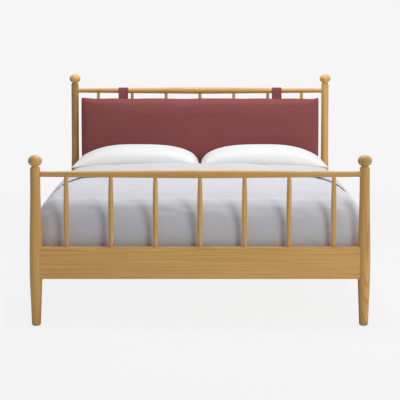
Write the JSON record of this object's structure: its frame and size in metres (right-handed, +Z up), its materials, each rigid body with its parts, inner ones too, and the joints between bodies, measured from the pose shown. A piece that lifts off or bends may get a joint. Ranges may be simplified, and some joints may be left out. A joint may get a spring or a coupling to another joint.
{
  "type": "spindle bed",
  "caption": "Wooden double bed with turned posts, ball finials, spindle head and foot ends, slats, mattress, duvet, pillows and a cushion strapped to the headboard.",
  "frame": {"origin": "on the floor, in the middle of the bed's footprint", "axes": "+X across the bed to the right seen from the foot, +Y from the foot end to the head end, +Z up"},
  "size_m": [1.674, 2.157, 1.1196],
  "materials": {
    "oak_upright": "clear lacquered oak, grain up the piece",
    "oak_cross": "clear lacquered oak, grain across the bed",
    "oak_side": "clear lacquered oak, grain along the bed",
    "slat_wood": "planed pale softwood",
    "support_wood": "planed pale softwood",
    "leg_wood": "planed pale softwood",
    "zinc_steel": "zinc plated",
    "glide_plastic": "moulded",
    "pad_felt": "pressed felt",
    "mattress_cover": "quilted knit",
    "duvet_cotton": "washed grey cotton",
    "pillow_cotton": "white cotton",
    "cushion_cloth": "woven dusty red cloth",
    "strap_cloth": "woven dusty red cloth",
    "press_stud_metal": "dull nickel"
  },
  "bodies": {
    "frame": {"foot_post_left": "oak_upright", "foot_post_right": "oak_upright", "foot_finial_left": "oak_upright", "foot_finial_right": "oak_upright", "head_post_left": "oak_upright", "head_post_right": "oak_upright", "head_finial_left": "oak_upright", "head_finial_right": "oak_upright", "foot_spindle_1": "oak_upright", "foot_spindle_2": "oak_upright", "foot_spindle_3": "oak_upright", "foot_spindle_4": "oak_upright", "foot_spindle_5": "oak_upright", "foot_spindle_6": "oak_upright", "foot_spindle_7": "oak_upright", "head_spindle_1": "oak_upright", "head_spindle_2": "oak_upright", "head_spindle_3": "oak_upright", "head_spindle_4": "oak_upright", "head_spindle_5": "oak_upright", "head_spindle_6": "oak_upright", "head_spindle_7": "oak_upright", "foot_top_rail": "oak_cross", "foot_lower_rail": "oak_cross", "head_top_rail": "oak_cross", "head_lower_rail": "oak_cross", "side_rail_left": "oak_side", "side_rail_right": "oak_side", "slat_1": "slat_wood", "slat_2": "slat_wood", "slat_3": "slat_wood", "slat_4": "slat_wood", "slat_5": "slat_wood", "slat_6": "slat_wood", "slat_7": "slat_wood", "slat_8": "slat_wood", "slat_9": "slat_wood", "slat_10": "slat_wood", "slat_11": "slat_wood", "slat_12": "slat_wood", "slat_ledge_left": "support_wood", "slat_ledge_right": "support_wood", "centre_rail": "support_wood", "centre_leg": "leg_wood", "centre_rail_hangers": "zinc_steel", "ledge_screws": "zinc_steel", "hanger_screws": "zinc_steel", "bed_studs": "zinc_steel", "bed_washers": "zinc_steel", "bed_nuts": "zinc_steel", "centre_leg_glide": "glide_plastic", "floor_pads": "pad_felt"},
    "mattress": {"mattress": "mattress_cover"},
    "duvet": {"duvet": "duvet_cotton"},
    "pillow_left": {"pillow_left": "pillow_cotton"},
    "pillow_right": {"pillow_right": "pillow_cotton"},
    "cushion": {"headboard_cushion": "cushion_cloth", "cushion_strap_left": "strap_cloth", "cushion_strap_right": "strap_cloth", "strap_press_studs": "press_stud_metal"}
  },
  "joints": [
    {"name": "cushion_swing", "type": "hinge", "parent": "frame", "child": "cushion", "pos_m": [0, 1.045, 1.018], "axis": [-1, 0, 0], "range_deg": [0, 3]},
    {"name": "mattress_tilt", "type": "hinge", "parent": "frame", "child": "mattress", "pos_m": [0, 1.02, 0.5705], "axis": [-1, 0, 0], "range_deg": [0, 6]},
    {"name": "duvet_lift", "type": "slide", "parent": "mattress", "child": "duvet", "axis": [0, 0, 1], "range_m": [0, 0.3]},
    {"name": "pillow_left_lift", "type": "slide", "parent": "mattress", "child": "pillow_left", "axis": [0, 0, 1], "range_m": [0, 0.25]},
    {"name": "pillow_right_lift", "type": "slide", "parent": "mattress", "child": "pillow_right", "axis": [0, 0, 1], "range_m": [0, 0.25]}
  ]
}
